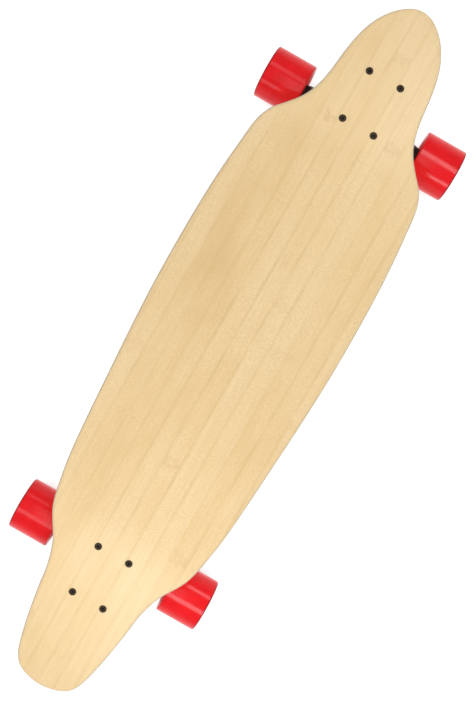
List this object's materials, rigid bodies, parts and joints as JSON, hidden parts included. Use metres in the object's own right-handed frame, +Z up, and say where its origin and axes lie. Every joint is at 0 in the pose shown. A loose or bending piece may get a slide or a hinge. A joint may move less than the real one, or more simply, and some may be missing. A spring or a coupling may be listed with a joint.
{
  "type": "longboard skateboard",
  "caption": "Arched bamboo longboard deck with cut-away wheel wells on reverse-kingpin trucks and wide urethane wheels.",
  "frame": {"origin": "on the floor under the middle of the board's length and width", "axes": "+X across the board, to the right of a rider who looks at the nose; +Y along the board towards the nose; +Z up from the floor"},
  "size_m": [0.2634, 0.917, 0.131],
  "materials": {
    "deck_bamboo": "satin clear lacquer over bamboo strips",
    "riser_rubber": "matte",
    "truck_paint": "satin black powder coat",
    "pivot_plastic": "matte",
    "hardware_black": "black oxide",
    "bushing_urethane": "satin",
    "axle_steel": "satin",
    "wheel_urethane": "gloss",
    "wheel_core": "satin",
    "bearing_steel": "polished"
  },
  "bodies": {
    "board": {"deck": "deck_bamboo", "front_riser_pad": "riser_rubber", "front_baseplate": "truck_paint", "front_pivot_cup": "pivot_plastic", "front_kingpin": "hardware_black", "front_kingpin_nut": "hardware_black", "front_boardside_bushing": "bushing_urethane", "front_roadside_bushing": "bushing_urethane", "front_boardside_washer": "hardware_black", "front_roadside_washer": "hardware_black", "front_bolt_1": "hardware_black", "front_bolt_2": "hardware_black", "front_bolt_3": "hardware_black", "front_bolt_4": "hardware_black", "front_nut_1": "hardware_black", "front_nut_2": "hardware_black", "front_nut_3": "hardware_black", "front_nut_4": "hardware_black", "rear_riser_pad": "riser_rubber", "rear_baseplate": "truck_paint", "rear_pivot_cup": "pivot_plastic", "rear_kingpin": "hardware_black", "rear_kingpin_nut": "hardware_black", "rear_boardside_bushing": "bushing_urethane", "rear_roadside_bushing": "bushing_urethane", "rear_boardside_washer": "hardware_black", "rear_roadside_washer": "hardware_black", "rear_bolt_1": "hardware_black", "rear_bolt_2": "hardware_black", "rear_bolt_3": "hardware_black", "rear_bolt_4": "hardware_black", "rear_nut_1": "hardware_black", "rear_nut_2": "hardware_black", "rear_nut_3": "hardware_black", "rear_nut_4": "hardware_black"},
    "front_hanger": {"front_hanger": "truck_paint", "front_axle": "axle_steel", "front_left_axle_nut": "axle_steel", "front_right_axle_nut": "axle_steel"},
    "rear_hanger": {"rear_hanger": "truck_paint", "rear_axle": "axle_steel", "rear_left_axle_nut": "axle_steel", "rear_right_axle_nut": "axle_steel"},
    "front_left_wheel": {"front_left_tyre": "wheel_urethane", "front_left_core": "wheel_core", "front_left_inner_bearing": "bearing_steel", "front_left_outer_bearing": "bearing_steel"},
    "front_right_wheel": {"front_right_tyre": "wheel_urethane", "front_right_core": "wheel_core", "front_right_inner_bearing": "bearing_steel", "front_right_outer_bearing": "bearing_steel"},
    "rear_left_wheel": {"rear_left_tyre": "wheel_urethane", "rear_left_core": "wheel_core", "rear_left_inner_bearing": "bearing_steel", "rear_left_outer_bearing": "bearing_steel"},
    "rear_right_wheel": {"rear_right_tyre": "wheel_urethane", "rear_right_core": "wheel_core", "rear_right_inner_bearing": "bearing_steel", "rear_right_outer_bearing": "bearing_steel"}
  },
  "joints": [
    {"name": "front_steer", "type": "hinge", "parent": "board", "child": "front_hanger", "pos_m": [0, 0.33509, 0.05804], "axis": [0, 0.755, 0.6557], "range_deg": [-18, 18], "stiffness_Nm_per_rad": 80, "deforming": ["front_boardside_bushing", "front_roadside_bushing"]},
    {"name": "rear_steer", "type": "hinge", "parent": "board", "child": "rear_hanger", "pos_m": [0, -0.306, 0.05804], "axis": [0, -0.755, 0.6557], "range_deg": [-18, 18], "stiffness_Nm_per_rad": 80, "deforming": ["rear_boardside_bushing", "rear_roadside_bushing"]},
    {"name": "front_left_spin", "type": "hinge", "parent": "front_hanger", "child": "front_left_wheel", "pos_m": [-0.1053, 0.32202, 0.03344], "axis": [1, 0, 0], "continuous": true},
    {"name": "front_right_spin", "type": "hinge", "parent": "front_hanger", "child": "front_right_wheel", "pos_m": [0.1053, 0.32202, 0.03344], "axis": [1, 0, 0], "continuous": true},
    {"name": "rear_left_spin", "type": "hinge", "parent": "rear_hanger", "child": "rear_left_wheel", "pos_m": [-0.1053, -0.29292, 0.03344], "axis": [1, 0, 0], "continuous": true},
    {"name": "rear_right_spin", "type": "hinge", "parent": "rear_hanger", "child": "rear_right_wheel", "pos_m": [0.1053, -0.29292, 0.03344], "axis": [1, 0, 0], "continuous": true}
  ]
}
